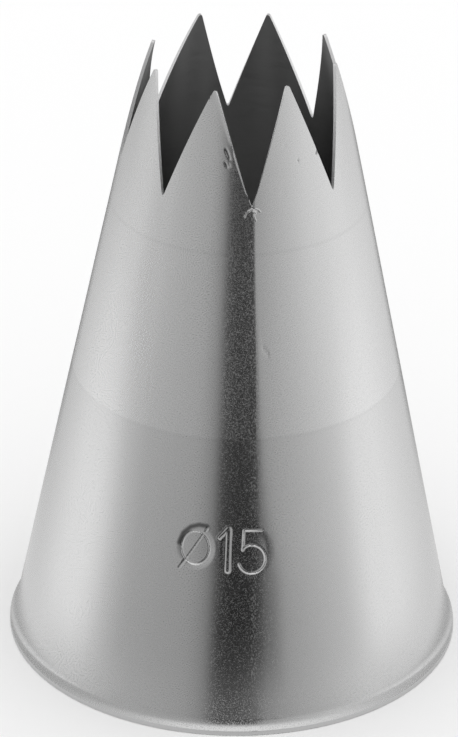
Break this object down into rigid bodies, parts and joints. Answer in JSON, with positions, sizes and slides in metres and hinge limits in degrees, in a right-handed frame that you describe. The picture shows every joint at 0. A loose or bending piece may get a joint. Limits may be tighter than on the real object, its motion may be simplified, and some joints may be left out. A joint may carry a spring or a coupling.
{
  "type": "piping nozzle",
  "caption": "Open-star piping nozzle: a straight cone of thin stainless sheet with a crown of pointed teeth at the small end and a short flared rim at the large end, for piping ridged rosettes.",
  "frame": {"origin": "centre of the base plane, which the flared rim stands on", "axes": "+Z along the cone's axis from the rim to the toothed opening, -Y through the seam and the notch above it, +X completes the right-handed frame"},
  "size_m": [0.0378, 0.0378, 0.053],
  "materials": {
    "satin_sheet": "satin, faintly speckled, with bright cut edges",
    "seam_metal": "ground flush, satin",
    "tack_metal": "rough, slightly darker"
  },
  "bodies": {
    "root": {"cone_shell": "satin_sheet", "seam_weld": "seam_metal", "seam_end_tack": "tack_metal"}
  },
  "joints": []
}
